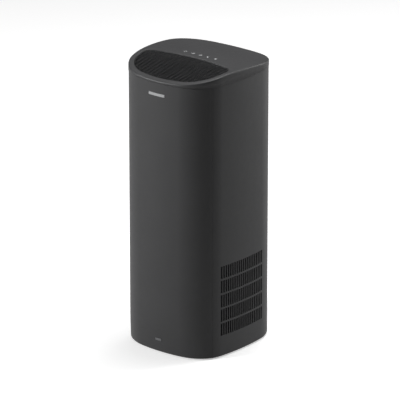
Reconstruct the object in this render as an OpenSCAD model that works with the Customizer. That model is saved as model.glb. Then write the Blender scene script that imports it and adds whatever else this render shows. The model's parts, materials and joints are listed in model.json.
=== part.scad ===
// Tower air purifier. Room air enters through slots low on both sides, passes inwards through a
// drum filter, is lifted by a centrifugal fan and leaves through the grille in the crowned top.
// The frame has its origin on the floor under the middle of the body, front towards -Y.

/* [Body] */
// Width at the widest part of the body
body_w = 303; // [290:1:370]
// Depth from the front face to the rear face
body_d = 329; // [315:1:400]
// Height from the floor to the crest of the crown
body_h = 750; // [700:1:900]
// Radius of the bowed front face
front_r = 334; // [300:1:420]
// Radius of the bowed side faces
side_r = 604; // [500:1:800]
// Radius of the bowed rear face
rear_r = 375; // [320:1:480]
// Radius of the front corners
corner_f = 99; // [85:1:105]
// Radius of the rear corners
corner_b = 96; // [85:1:105]
// Distance of the widest section behind the middle
widest_y = 34; // [20:1:45]
// Height of the body's underside above the floor
floor_gap = 2.5; // [2:0.5:3]
// Wall thickness of the rear housing
wall = 2.8; // [2:0.1:3.5]

/* [Front cover] */
// Depth of the front cover, from the front face back to the seam
cover_depth = 57.5; // [54:0.5:62]
// Wall thickness of the front cover
cover_t = 2.6; // [2:0.1:3]
// Width of the shadow gap at the seam
seam_gap = 1; // [0.6:0.1:1.4]
// How far the chin tucks in at the floor
chin_in = 12; // [4:1:14]
// Height at which the chin begins
chin_h = 92; // [70:1:110]
// Radius of the rounded lower edge
chin_fillet = 4.5; // [2:0.5:5]
// Size of the blank name plate: width and height
name_w = 49; // [30:1:70]
name_h = 7; // [4:0.5:12]
// Height of the name plate above the floor
name_z = 694; // [600:1:700]
// Width of the blank badge at the foot of the cover
badge_w = 18; // [10:1:30]
// Height of the badge above the floor
badge_z = 40; // [30:1:60]

/* [Top cap] */
// Rise of the crown above the joint line
crown_h = 26.4; // [20:0.2:32]
// Height of the cap's edge at the front and rear
edge_h = 6.8; // [5:0.2:10]
// Distance of the crest in front of the middle
crest_y = 45; // [30:1:60]
// Wall thickness of the cap
cap_t = 3; // [2:0.1:4]
// Overhang of the cap past the walls
cap_over = 0.8; // [0:0.1:1.5]
// Width of the rim between the cap's edge and the outlet
rim_w = 13; // [10:0.5:18]
// Distance of the outlet's rear edge in front of the middle
outlet_back = 11; // [5:1:30]
// Radius of the bowed rear edge of the outlet
outlet_r = 416; // [300:1:600]
// Radius of the outlet's rear corners
outlet_corner = 28; // [20:1:40]
// Distance between the centres of the outlet's vanes
vane_pitch = 6; // [5:0.5:10]
// Thickness of an outlet vane
vane_t = 1.8; // [1.4:0.1:2.2]
// Distance between the ribs that join the vanes
rib_pitch = 42; // [30:1:50]
// Distance between the centres of the touch symbols
icon_pitch = 24; // [18:1:30]
// Distance of the touch symbols behind the middle
icon_y = 13; // [8:1:24]

/* [Side intakes] */
// Distance from the seam to the first slot
intake_y = 23; // [12:1:40]
// Slots in each row
slot_count = 21; // [12:1:22]
// Distance between the centres of two slots
slot_pitch = 7.6; // [6.5:0.1:7.8]
// Width of a slot
slot_w = 4.6; // [3.5:0.1:5]
// Rows of slots
row_count = 5; // [3:1:5]
// Distance between the foot of one row and the next
row_pitch = 38.4; // [34:0.2:40]
// Height of a slot
slot_h = 33.4; // [25:0.2:33.6]
// Height of the lowest row above the floor
intake_z = 58.5; // [45:0.5:80]

/* [Filter] */
// Outer diameter of the filter drum
filter_d = 200; // [170:1:208]
// Height of the filter drum
filter_h = 240; // [200:1:260]
// Diameter of the drum's clean air core
core_d = 136; // [110:1:140]
// Pleats round the drum
pleats = 72; // [48:1:90]
// Thickness of the foam gasket on the drum
gasket_h = 8; // [5:0.5:12]

/* [Fan] */
// Diameter of the impeller
impeller_d = 190; // [160:1:196]
// Height of the impeller's blades
blade_h = 54; // [40:1:60]
// Blades round the impeller
blade_count = 28; // [18:1:36]
// Radius of the fan's inlet
inlet_r = 62; // [50:1:64]
// Diameter of the motor can
motor_d = 84; // [60:1:88]
// Height of the motor can
motor_h = 36; // [28:1:40]
// Diameter of the motor shaft
shaft_d = 8; // [6:0.5:10]
// Radial running clearance of the shaft in the motor
shaft_gap = 0.05; // [0.02:0.01:0.1]

/* [Base and rear] */
// Diameter of a rubber foot
foot_d = 26; // [20:1:32]
// Sideways distance of the feet from the middle
foot_x = 88; // [70:1:95]
// Distance of the front and rear feet from the middle
foot_y = 88; // [70:1:92]
// Thickness of the base tray
base_t = 6; // [5:0.5:8]
// Width of the grip in the rear wall
grip_w = 110; // [90:1:120]
// Height of the grip's mouth
grip_h = 38; // [30:1:45]
// Depth of the grip
grip_deep = 30; // [24:1:34]
// Diameter of the power lead that the rear gland takes
lead_d = 7; // [5:0.5:9]

/* [Clearances] */
// Gap between pieces that sit inside one another
fit = 0.3; // [0.2:0.05:0.5]
// Gap round a screw's shank
screw_gap = 0.1; // [0.05:0.05:0.2]

/* [Hidden] */
$fn = 64;
chord_error = 0.12;
tall = 1000;
half_w = body_w / 2;
front_y = -body_d / 2;
rear_y = body_d / 2;
seam_y = front_y + cover_depth;
cap_z = body_h - crown_h;
wall_top = cap_z - 0.4;

// Centres of the four kinds of arc that make the footprint
front_c = [0, front_y + front_r];
rear_c = [0, rear_y - rear_r];
side_c = [half_w - side_r, widest_y];
front_corner = meet(front_c, front_r - corner_f, side_c, side_r - corner_f, 1);
rear_corner = meet(rear_c, rear_r - corner_b, side_c, side_r - corner_b, -1);
front_turn = heading(front_corner - front_c);
side_turn_f = heading(front_corner - side_c);
side_turn_b = heading(rear_corner - side_c);
rear_turn = heading(rear_corner - rear_c);

// Levels from the floor up
base_top = floor_gap + base_t;
filter_z = base_top + fit;
filter_top = filter_z + filter_h;
deck_z = filter_top + gasket_h + fit;
deck_t = 4;
deck_top = deck_z + deck_t;
ring_t = 3;
shroud_z = deck_top + ring_t + 6;
shroud_t = 2;
blade_z = shroud_z + shroud_t;
hub_z = blade_z + blade_h;
hub_t = 3;
cup_z = hub_z + hub_t + 8;
cup_t = 3;
mount_h = 4;
motor_z = cup_z + cup_t + mount_h;
motor_top = motor_z + motor_h;
cup_top = motor_top + 6;
diffuser_z = hub_z + hub_t + 4;
casing_top = cup_top + 4;

// Plan of the works: the frame stands just behind the seam, the fan between it and the rear wall
frame_front = seam_y + 3;
frame_t = 3;
frame_back = frame_front + frame_t;
flange_w = 5;
inner_rear = rear_y - wall;
fan_y = (inner_rear + frame_back) / 2;
casing_r = min((inner_rear - frame_back) / 2, half_w - wall - 14) - flange_w - 2;
casing_t = 2.5;
impeller_r = impeller_d / 2;
filter_r = filter_d / 2;
core_r = core_d / 2;
cup_r = motor_d / 2 + 8;
cup_wall = 2.5;
shaft_r = shaft_d / 2;

// Front frame and duct
door_half = filter_r + 7;
door_top = deck_z + 1;
frame_top = cap_z - 110;
duct_t = 2.2;
duct_r = casing_r + 1;
duct_z = casing_top;
duct_lip_z = cap_z - 24;
duct_rear_z = duct_z + 24;
outlet_lip = 3;

// Locating pegs and magnets of the cover
peg_r = 4;
peg_x = door_half + 9;
peg_z = [150, cap_z - 140];
magnet_r = 7;
magnet_t = 3;
magnet_z = [210, cap_z - 190];
plate_t = 1;
liner_t = 6;
liner_back = seam_y - 2.5;
liner_z = chin_h + 8;
liner_top = frame_top;

// Screws
screw_r = 2;
head_r = 4;
head_h = 2.4;

grip_z = cap_z - 76;
cup_shell = 2.5;
gland_x = 60;
gland_z = 34;
gland_r = 9;
lead_x = 100;
lead_y = 126;
board_z = cap_z - 200;
board_y = 136;
board_t = 1.6;

shell_colour = "#434345";
inner_colour = "#2c2c2e";
white_plastic = "#d8d8d4";
steel_colour = "#9a9c9e";

// Meeting point of two circles; side picks one of the two
function meet(c1, r1, c2, r2, side) =
    let (d = c2 - c1, l = norm(d), u = d / l)
    let (t = (r1 * r1 - r2 * r2 + l * l) / (2 * l), h = sqrt(r1 * r1 - t * t))
    c1 + u * t + side * h * [-u[1], u[0]];
function heading(v) = atan2(v[1], v[0]);
// Points along an arc in n steps, without its first point
function arc_in(n, c, r, a0, a1) =
    [for (i = [1:n]) let (a = a0 + (a1 - a0) * i / n) c + r * [cos(a), sin(a)]];
// The same, as close to the circle as chord_error asks
function arc(c, r, a0, a1) =
    arc_in(max(1, ceil(abs(a1 - a0) / (2 * acos(1 - chord_error / r)))), c, r, a0, a1);
// Right half of a ring lying a distance in from the footprint, from the seam or the front on
function front_arcs(inset, last) = concat(
    arc(front_c, front_r - inset, -90, front_turn),
    arc(front_corner, corner_f - inset, front_turn, last)
);
function half_ring(inset) = concat(
    front_arcs(inset, side_turn_f),
    arc(side_c, side_r - inset, side_turn_f, side_turn_b),
    arc(rear_corner, corner_b - inset, side_turn_b, rear_turn),
    arc(rear_c, rear_r - inset, rear_turn, 90)
);
function mirrored(points) = [for (i = [len(points) - 1:-1:0]) [-points[i][0], points[i][1]]];
function ring(inset) =
    let (right = half_ring(inset), last = len(right) - 1)
    let (side = [for (i = [0:last - 1]) right[i]])
    concat([[0, front_y + inset]], side, [[0, rear_y - inset]], mirrored(side));
// Right half of the outlet's edge; its rear corner touches the side arc and the rear edge
function outlet_half(inset) =
    let (edge_c = [0, -outlet_back - outlet_r], in = rim_w + inset, r = outlet_corner - inset)
    let (c = meet(side_c, side_r - rim_w - outlet_corner, edge_c, outlet_r - outlet_corner, 1))
    concat(
        front_arcs(in, side_turn_f),
        arc(side_c, side_r - in, side_turn_f, heading(c - side_c)),
        arc(c, r, heading(c - side_c), heading(c - edge_c)),
        arc(edge_c, outlet_r - inset, heading(c - edge_c), 90)
    );
function outlet_ring(inset) =
    let (right = outlet_half(inset), last = len(right) - 1)
    let (side = [for (i = [0:last - 1]) right[i]])
    concat([[0, front_y + rim_w + inset]], side, [[0, -outlet_back - inset]], mirrored(side));
// Height of the crowned top along the depth
function crown_z(y) = y < -crest_y
    ? body_h - (crown_h - edge_h) * pow((-crest_y - y) / (-crest_y - front_y), 1.7)
    : body_h - (crown_h - edge_h) * pow((y + crest_y) / (rear_y + crest_y), 2);
// Share of the cover's depth that is left at a height, where the chin tucks in
function tuck(z) = z > chin_h ? 1 : 1 - chin_in / cover_depth * pow(1 - z / chin_h, 2);
function tucked(p, z) = [p[0], p[1] < seam_y ? seam_y + (p[1] - seam_y) * tuck(z) : p[1]];
// Inset of the rounded lower edge at a height
function edge_in(z) =
    let (t = min(1, (z - floor_gap) / chin_fillet))
    chin_fillet * (1 - sqrt(1 - (1 - t) * (1 - t)));

module footprint(inset = 0) { polygon(ring(inset)); }

// A wall that follows the footprint, between two insets and two heights
module band(outer, inner, z0, z1) {
    translate([0, 0, z0]) linear_extrude(z1 - z0) difference() {
        footprint(outer);
        footprint(inner);
    }
}

// Everything between two depths
module slab(y0, y1, z0 = -1, z1 = tall, half = 400) {
    translate([-half, y0, z0]) cube([2 * half, y1 - y0, z1 - z0]);
}

module at_fan(z = 0) { translate([0, fan_y, z]) children(); }

module tube(outer, inner, h) {
    difference() {
        cylinder(h = h, r = outer);
        translate([0, 0, -1]) cylinder(h = h + 2, r = inner);
    }
}

module screw(length) {
    cylinder(h = length, r = screw_r);
    translate([0, 0, length]) cylinder(h = head_h, r = head_r);
}

// Solid under the crowned top, lowered by drop and drawn in by inset, from a height up
module crown(drop, inset, z0) {
    reach = body_d / 2 + 20;
    steps = 32;
    intersection() {
        translate([0, 0, z0]) linear_extrude(tall) footprint(inset);
        rotate([90, 0, 90]) linear_extrude(2 * body_w, center = true) polygon(concat(
            [[-reach, z0]],
            [for (i = [0:steps]) let (y = -reach + 2 * reach * i / steps) [y, crown_z(y) - drop]],
            [[reach, z0]]
        ));
    }
}

// ---- cabinet ----

module intake_window(margin) {
    y0 = seam_y + intake_y - 4 - margin;
    z0 = intake_z - 4 - margin;
    wide = (slot_count - 1) * slot_pitch + slot_w + 8 + 2 * margin;
    high = (row_count - 1) * row_pitch + slot_h + 8 + 2 * margin;
    translate([half_w / 2, y0, z0]) cube([half_w, wide, high]);
}

module grip_mouth() {
    translate([-grip_w / 2, rear_y - grip_deep, grip_z]) cube([grip_w, 2 * grip_deep, grip_h]);
}

module sensor_vents() {
    for (i = [0:5]) translate([-94 + 5 * i, 0, board_z + 8]) cube([2.4, rear_y + 9, 22]);
}

// Bosses inside the rear wall that carry the power board
module board_bosses() {
    intersection() {
        board_screw_places() translate([0, 0, -60]) cylinder(h = 60 - board_t - fit / 3, r = 5);
        translate([0, 0, board_z - 20]) linear_extrude(160) footprint(wall / 2);
    }
}

module rear_housing() {
    color(shell_colour) difference() {
        union() {
            band(0, wall, floor_gap, wall_top);
            board_bosses();
        }
        board_screw_places() translate([0, 0, -12]) cylinder(h = 40, r = screw_r + screw_gap);
        slab(-tall, seam_y + seam_gap / 2);
        intake_window(0);
        mirror([1, 0, 0]) intake_window(0);
        grip_mouth();
        intersection() {
            sensor_vents();
            slab(lead_y - 20, tall);
        }
        translate([gland_x, rear_y - 30, gland_z]) rotate([-90, 0, 0])
            cylinder(h = 60, r = gland_r + screw_gap);
    }
}

module intake_grille() {
    color(shell_colour) difference() {
        intersection() {
            band(0, wall, 0, tall);
            intake_window(-fit);
        }
        for (row = [0:row_count - 1], i = [0:slot_count - 1])
            translate([half_w / 2, seam_y + intake_y + i * slot_pitch, intake_z + row * row_pitch])
                cube([half_w, slot_w, slot_h]);
    }
}
module right_intake_grille() { intake_grille(); }
module left_intake_grille() { mirror([1, 0, 0]) intake_grille(); }

module at_feet() {
    for (x = [-foot_x, foot_x], y = [-foot_y, foot_y]) translate([x, y, 0]) children();
}

module base_tray() {
    toe_in = cover_t + chin_fillet + 1;
    color(inner_colour) difference() {
        translate([0, 0, floor_gap]) linear_extrude(base_t) union() {
            intersection() {
                footprint(wall + fit);
                translate([-tall, seam_y]) square(2 * tall);
            }
            intersection() {
                polygon([for (p = ring(toe_in)) tucked(p, floor_gap)]);
                translate([-tall, seam_y + 1 - 2 * tall]) square(2 * tall);
            }
        }
        at_feet() cylinder(h = floor_gap + 2, r = foot_d / 2 + fit);
        translate([lead_x, lead_y, -1]) cylinder(h = 2 * base_top, r = 2.5);
    }
}

module rubber_feet() {
    color(inner_colour) at_feet() {
        cylinder(h = 1, r1 = foot_d / 2 - 1, r2 = foot_d / 2);
        translate([0, 0, 1]) cylinder(h = floor_gap + 1, r = foot_d / 2);
    }
}

// Places of the catch plates and peg holes on the frame
module at_pegs(z_list) {
    for (x = [-peg_x, peg_x], z = z_list) translate([x, 0, z]) children();
}

module front_frame() {
    color(inner_colour) difference() {
        intersection() {
            translate([0, 0, base_top]) linear_extrude(frame_top - base_top) footprint(wall + fit);
            slab(frame_front, frame_back);
        }
        slab(-tall, tall, base_top - 1, door_top, door_half);
        at_pegs(peg_z) rotate([-90, 0, 0]) translate([0, 0, frame_front - 1])
            cylinder(h = frame_t + 2, r = peg_r + fit);
        duct_screw_places() cylinder(h = 40, r = screw_r + screw_gap, center = true);
    }
}

module catch_plates() {
    color(steel_colour) at_pegs(magnet_z) translate([0, frame_front, 0]) rotate([90, 0, 0])
        cylinder(h = plate_t, r = magnet_r);
}

module bay_deck() {
    color(inner_colour) difference() {
        intersection() {
            translate([0, 0, deck_z]) linear_extrude(deck_t) footprint(wall + fit);
            slab(frame_back, tall);
        }
        at_fan() cylinder(h = tall, r = inlet_r + 3);
        translate([lead_x, lead_y, 0]) cylinder(h = tall, r = lead_d / 2 + 1);
        inlet_screw_places() cylinder(h = 40, r = screw_r + screw_gap, center = true);
        casing_screw_places() cylinder(h = 40, r = screw_r + screw_gap, center = true);
    }
}

// ---- fan ----

module inlet_screw_places() {
    for (a = [45:90:315]) at_fan(deck_top + ring_t) rotate(a) translate([inlet_r + 10, 0]) children();
}

module inlet_ring() {
    color(white_plastic) difference() {
        at_fan() union() {
            translate([0, 0, deck_z + 1]) tube(inlet_r + 2.5, inlet_r, blade_z + 4 - deck_z);
            translate([0, 0, deck_top]) tube(inlet_r + 15, inlet_r, ring_t);
        }
        inlet_screw_places() cylinder(h = 20, r = screw_r + screw_gap, center = true);
    }
}

module inlet_ring_screws() {
    color(steel_colour) inlet_screw_places() translate([0, 0, -6]) screw(6);
}

module casing_screw_places() {
    for (a = [20:90:290]) at_fan(deck_top + 3) rotate(a) translate([casing_r + 2.6, 0]) children();
}

module fan_casing() {
    color(inner_colour) difference() {
        at_fan(deck_top) union() {
            tube(casing_r, casing_r - casing_t, casing_top - deck_top);
            difference() {
                tube(casing_r + flange_w + 1.5, casing_r - casing_t, 3);
                translate([-tall, -tall, -1]) cube([2 * tall, tall - casing_r - 3, 9]);
                translate([-tall, casing_r + 3, -1]) cube([2 * tall, tall, 9]);
            }
        }
        casing_screw_places() cylinder(h = 20, r = screw_r + screw_gap, center = true);
        casing_screw_places() cylinder(h = 20, r = head_r + screw_gap);
    }
}

module casing_screws() {
    color(steel_colour) casing_screw_places() translate([0, 0, -7]) screw(7);
}

module motor_mount_places() {
    for (a = [90:120:330]) at_fan(cup_z) rotate(a) translate([motor_d / 2 - 8, 0]) children();
}

module fan_diffuser() {
    vane_count = 9;
    ring_r = casing_r - casing_t - fit;
    color(white_plastic) difference() {
        at_fan() union() {
            translate([0, 0, diffuser_z]) tube(ring_r, ring_r - 2.5, casing_top - diffuser_z);
            translate([0, 0, cup_z]) tube(cup_r, cup_r - cup_wall, cup_top - cup_z);
            translate([0, 0, cup_z]) cylinder(h = cup_t, r = cup_r - cup_wall / 2);
            for (i = [0:vane_count - 1]) rotate(360 / vane_count * i)
                translate([cup_r - 1, -1, cup_z + 2])
                    cube([ring_r - cup_r - 0.5, 2, casing_top - cup_z - 8]);
        }
        at_fan(cup_z - 1) cylinder(h = cup_t + 2, r = 16);
        motor_mount_places() cylinder(h = 20, r = screw_r + 2, center = true);
    }
}

module motor_grommets() {
    color(inner_colour) motor_mount_places() {
        translate([0, 0, cup_t]) tube(screw_r + 5, screw_r + screw_gap, mount_h);
        tube(screw_r + 2 - screw_gap, screw_r + screw_gap, cup_t);
        translate([0, 0, -1.5]) tube(screw_r + 4, screw_r + screw_gap, 1.5);
    }
}

module motor_screws() {
    color(steel_colour) motor_mount_places() mirror([0, 0, 1]) translate([0, 0, -mount_h - cup_t - 6])
        screw(mount_h + cup_t + 6 + 1.5);
}

module motor() {
    color(steel_colour) difference() {
        at_fan(motor_z) union() {
            cylinder(h = motor_h, r = motor_d / 2);
            translate([0, 0, motor_h]) cylinder(h = 3, r = motor_d / 4);
        }
        at_fan(motor_z - 1) cylinder(h = motor_h - 5, r = shaft_r + shaft_gap);
        motor_mount_places() cylinder(h = cup_t + mount_h + 7, r = screw_r + screw_gap);
    }
}

module motor_cover() {
    color(white_plastic) at_fan(cup_top) {
        tube(cup_r, cup_r - 6, 1.5);
        translate([0, 0, 1.5]) cylinder(h = 3, r = cup_r);
        translate([0, 0, 4.5]) cylinder(h = 8, r1 = cup_r, r2 = cup_r - 14);
    }
}

module impeller() {
    color(white_plastic) difference() {
        at_fan() union() {
            translate([0, 0, shroud_z]) tube(impeller_r, inlet_r + 6, shroud_t);
            translate([0, 0, hub_z]) cylinder(h = hub_t, r = impeller_r);
            translate([0, 0, hub_z - 14]) cylinder(h = 14 + hub_t + 4, r = shaft_r + 8);
            for (i = [0:blade_count - 1]) rotate(360 / blade_count * i)
                translate([impeller_r - 11, 0, blade_z - 1]) rotate(35)
                    translate([-11, -0.8, 0]) cube([22, 1.6, blade_h + 2]);
        }
        at_fan() cylinder(h = tall, r = shaft_r);
    }
}

module motor_shaft() {
    color(steel_colour) at_fan(hub_z - 20) cylinder(h = motor_z + motor_h - 10 - hub_z + 20, r = shaft_r);
}

module shaft_nut() {
    color(steel_colour) at_fan(hub_z - 19) difference() {
        cylinder(h = 5, r = shaft_r + 4, $fn = 6);
        translate([0, 0, -1]) cylinder(h = 9, r = shaft_r);
    }
}

// ---- outlet ----

// Plan of the duct: round behind the fan, following the walls in front of it
module duct_plan(inset) {
    intersection() {
        footprint(rim_w - 3 + inset);
        union() {
            translate([0, fan_y]) circle(r = duct_r - inset);
            translate([-duct_r + inset, -tall]) square([2 * (duct_r - inset), tall + fan_y]);
            translate([-tall, -tall]) square([2 * tall, tall - outlet_back + 4]);
        }
    }
}

// Side view of the duct, which leans forward from the fan to the outlet
module duct_body(inset, below) {
    front_low = frame_back + 3 + inset;
    front_high = front_y + rim_w - 3 + inset;
    rear_low = fan_y + duct_r - inset;
    rear_high = -outlet_back + 4 - inset;
    lip_top = cap_z - 1 + below;
    intersection() {
        translate([0, 0, duct_z - below]) linear_extrude(tall) duct_plan(inset);
        rotate([90, 0, 90]) linear_extrude(2 * body_w, center = true) polygon([
            [front_low, duct_z - below], [rear_low, duct_z - below], [rear_low, duct_rear_z],
            [rear_high, duct_lip_z], [rear_high, lip_top], [front_high, lip_top],
            [front_high, duct_lip_z], [front_low, frame_top + 8]
        ]);
    }
}

module duct_screw_places() {
    for (x = [-60, 60], z = [duct_z + 30, frame_top - 25])
        translate([x, frame_front, z]) rotate([90, 0, 0]) children();
}

module outlet_duct() {
    color(inner_colour) difference() {
        union() {
            duct_body(0, 0);
            duct_screw_places() translate([0, 0, -frame_t - 3 - duct_t])
                cylinder(h = 3 + duct_t - fit, r = 5);
        }
        duct_body(duct_t, 1);
        duct_screw_places() cylinder(h = 60, r = screw_r + screw_gap, center = true);
    }
}

module duct_screws() {
    color(steel_colour) duct_screw_places() translate([0, 0, -frame_t - 5]) screw(frame_t + 5);
}

module cap_boss_places() {
    for (x = [-icon_pitch * 2.6, icon_pitch * 2.6], y = [icon_y - 8, icon_y + 24])
        translate([x, y, cap_z + 8]) children();
}

module top_cap() {
    color(shell_colour) {
        difference() {
            union() {
                difference() {
                    crown(0, -cap_over, cap_z);
                    crown(cap_t, wall, cap_z - 1);
                }
                difference() {
                    band(wall + fit, wall + fit + 2, cap_z - 10, cap_z + 4);
                    slab(-tall, seam_y - 20);
                }
                intersection() {
                    cap_boss_places() cylinder(h = 40, r = 4);
                    crown(cap_t / 2, wall, 0);
                }
            }
            translate([0, 0, cap_z - 1]) linear_extrude(tall) polygon(outlet_ring(0));
            cap_boss_places() cylinder(h = 14, r = screw_r + screw_gap, center = true);
        }
    }
}

module outlet_grille() {
    sink = 1;
    deep = 7;
    color(inner_colour) difference() {
        intersection() {
            translate([0, 0, cap_z - 20]) linear_extrude(tall) polygon(outlet_ring(fit));
            difference() {
                crown(sink, 0, cap_z - 20);
                crown(sink + deep, -9, cap_z - 30);
            }
        }
        intersection() {
            translate([0, 0, cap_z - 40]) linear_extrude(tall) polygon(outlet_ring(outlet_lip));
            difference() {
                for (i = [0:floor(-front_y / vane_pitch)])
                    slab(-(i + 1) * vane_pitch + vane_t, -i * vane_pitch, cap_z - 40, body_h + 9);
                for (i = [-2:2])
                    translate([i * rib_pitch - vane_t / 2, -tall, cap_z]) cube([vane_t, tall, 100]);
            }
        }
    }
}

// Symbols: off, speed, timer, night and lock, each a thin inlay on the crown
module symbol(kind) {
    if (kind == 0) {
        difference() {
            circle(r = 4);
            circle(r = 3);
            translate([-1.2, 0]) square([2.4, 9]);
        }
        translate([-0.5, 1]) square([1, 4]);
    } else if (kind == 1) {
        for (i = [0:2]) translate([-4 + 3 * i, -3]) square([2, 3 + 2 * i]);
    } else if (kind == 2) {
        difference() {
            circle(r = 4);
            circle(r = 3.1);
        }
        translate([-0.4, -0.4]) square([0.8, 2.6]);
        translate([-0.4, -0.4]) square([2.2, 0.8]);
    } else if (kind == 3) {
        difference() {
            circle(r = 4);
            translate([2.2, 1.4]) circle(r = 3.6);
        }
    } else {
        translate([-3, -4]) square([6, 4.6]);
        difference() {
            translate([0, 0.5]) circle(r = 2.6);
            translate([0, 0.5]) circle(r = 1.8);
            translate([-4, -4]) square([8, 4.5]);
        }
    }
}

module touch_symbols() {
    color("#c9c9c9") intersection() {
        for (i = [0:4]) translate([(i - 2) * icon_pitch, icon_y, cap_z]) linear_extrude(80) symbol(i);
        difference() {
            crown(-0.3, -cap_over, cap_z);
            crown(0, -9, cap_z - 1);
        }
    }
}

module control_board() {
    color("#1f5a35") difference() {
        translate([-icon_pitch * 2.6 - 7, icon_y - 14, cap_z + 8 - board_t])
            cube([icon_pitch * 5.2 + 14, 44, board_t]);
        cap_boss_places() cylinder(h = 20, r = screw_r + screw_gap, center = true);
    }
}

module board_screws() {
    color(steel_colour) cap_boss_places() mirror([0, 0, 1]) translate([0, 0, -5.4]) screw(7);
}

// ---- rear wall ----

module board_screw_places() {
    for (x = [-50, 50], z = [board_z + 6, board_z + 74]) translate([x, board_y, z])
        rotate([90, 0, 0]) children();
}

module power_board() {
    color("#1f5a35") difference() {
        union() {
            translate([-57, board_y, board_z]) cube([114, board_t, 80]);
            translate([-40, board_y - 20, board_z + 12]) cube([34, 20.2, 30]);
            translate([4, board_y + 0.2, board_z + 30]) rotate([90, 0, 0]) cylinder(h = 20, r = 9);
            translate([26, board_y - 12, board_z + 14]) cube([16, 12.2, 40]);
        }
        board_screw_places() cylinder(h = 20, r = screw_r + screw_gap, center = true);
    }
}

module power_board_screws() {
    color(steel_colour) board_screw_places() translate([0, 0, -9]) screw(9);
}

// Octagon round one point of a path, square to the path there
function ring_at(path, i, r) =
    let (a = path[max(i - 1, 0)], b = path[min(i + 1, len(path) - 1)], d = (b - a) / norm(b - a))
    let (across = cross(d, [0, -1, 0.01]), u = across / norm(across), v = cross(d, u))
    [for (k = [0:7]) path[i] + r * (cos(45 * k) * u + sin(45 * k) * v)];

module inner_lead() {
    bend = lead_d / 2 - 0.5;
    gland_in = rear_y - 32;
    path = [
        [gland_x, gland_in - fit, gland_z], [gland_x, gland_in - 3, gland_z],
        [gland_x + 8, gland_in - 8, gland_z + 3],
        [lead_x - 10, lead_y - 6, gland_z + 12], [lead_x - 2, lead_y - 2, gland_z + 24],
        [lead_x, lead_y, gland_z + 40], [lead_x, lead_y, board_z - 40],
        [lead_x - 6, lead_y, board_z - 18], [60, board_y - 8, board_z + 2],
        [50, board_y - 8, board_z + 8]
    ];
    color("#1c1c1e") loft([for (i = [0:len(path) - 1]) ring_at(path, i, bend)]);
}

module power_gland() {
    color(inner_colour) translate([gland_x, rear_y - 32, gland_z]) rotate([-90, 0, 0]) difference() {
        union() {
            cylinder(h = 29, r = gland_r);
            translate([0, 0, 17]) cylinder(h = 3, r = gland_r + 3);
            translate([0, 0, 29]) cylinder(h = 3 + cap_over, r1 = gland_r, r2 = gland_r - 2);
        }
        translate([0, 0, 12]) cylinder(h = 60, r = lead_d / 2 + 0.2);
    }
}

module dust_sensor() {
    color("#26262a") difference() {
        intersection() {
            translate([-98, lead_y - 2, board_z + 2]) cube([38, 60, 34]);
            translate([0, 0, board_z]) linear_extrude(40) footprint(wall + fit);
        }
        translate([-95, lead_y + 8, board_z + 6]) cube([32, 60, 26]);
    }
}

module handle_cup() {
    outer = [grip_w + 2 * cup_shell, grip_deep + cup_shell, grip_h + 2 * cup_shell];
    color(inner_colour) difference() {
        intersection() {
            translate([-outer[0] / 2, rear_y - outer[1] - 1, grip_z - cup_shell]) cube([outer[0], 80, outer[2]]);
            translate([0, 0, grip_z - 20]) linear_extrude(90) footprint(wall + fit);
        }
        translate([-grip_w / 2, rear_y - grip_deep - 1, grip_z]) cube([grip_w, 80, grip_h]);
    }
}

// ---- filter ----

// Zigzag ring: two points to a pleat
module star(out, in) {
    polygon([for (i = [0:2 * pleats - 1]) let (a = 180 / pleats * i, r = i % 2 == 0 ? out : in)
        [r * cos(a), r * sin(a)]]);
}

module filter_media() {
    color("#e9e9e4") at_fan(filter_z + 5) linear_extrude(filter_h - 10) difference() {
        star(filter_r - 3, filter_r - 12);
        star(core_r + 12, core_r + 3);
    }
}

module filter_core() {
    rows = 5;
    gap = (filter_h - 10) / rows;
    color(white_plastic) at_fan(filter_z + 5) difference() {
        tube(core_r + 1.5, core_r - 1, filter_h - 10);
        for (row = [0:rows - 1], a = [0:30:150]) rotate(a)
            translate([-filter_r, -12, row * gap + 4]) cube([filter_d, 24, gap - 8]);
    }
}

module prefilter_sleeve() {
    color("#55565a") at_fan(filter_z + 5) tube(filter_r - 1.2, filter_r - 2.6, filter_h - 10);
}

module filter_bottom_cap() {
    color(white_plastic) at_fan(filter_z) {
        cylinder(h = 5 - fit / 3, r = filter_r);
    }
}

module filter_top_cap() {
    color(white_plastic) at_fan(filter_top - 5 + fit / 3) tube(filter_r, core_r - 2, 5 - fit / 3);
}

module filter_gasket() {
    color("#303032") at_fan(filter_top) tube(core_r + 14, core_r, gasket_h);
}

module filter_pull_tab() {
    color("#4a6f8f") translate([-10, fan_y - filter_r - 24, filter_z + 1]) difference() {
        cube([20, 24 - fit / 3, 1.6]);
        translate([5, 4, -1]) cube([10, 10, 4]);
    }
}

// ---- front cover ----

// Closed outline of the cover's wall at a height, outer face first and inner face back
function cover_section(z) =
    let (edge = seam_y - seam_gap / 2, out = edge_in(z), in = out + cover_t)
    let (outer = cover_side(out, edge), inner = cover_side(in, edge))
    [for (p = concat(outer, inner_back(inner))) let (q = tucked(p, z)) [q[0], q[1], z]];
function cover_side(inset, edge) =
    let (last = asin((edge - front_corner[1]) / (corner_f - inset)))
    let (right = concat(
        arc_in(4, front_c, front_r - inset, -90, front_turn),
        arc_in(14, front_corner, corner_f - inset, front_turn, last)
    ))
    concat(mirrored(right), [[0, front_y + inset]], right);
function inner_back(points) = [for (i = [len(points) - 1:-1:0]) points[i]];

module loft(sections) {
    n = len(sections[0]);
    last = len(sections) - 1;
    polyhedron(
        points = [for (s = sections, p = s) p],
        faces = concat(
            [[for (i = [0:n - 1]) i]],
            [[for (i = [n - 1:-1:0]) last * n + i]],
            [for (k = [0:last - 1], i = [0:n - 1]) let (j = (i + 1) % n)
                [k * n + i, (k + 1) * n + i, (k + 1) * n + j]],
            [for (k = [0:last - 1], i = [0:n - 1]) let (j = (i + 1) % n)
                [k * n + i, (k + 1) * n + j, k * n + j]]
        )
    );
}

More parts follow.
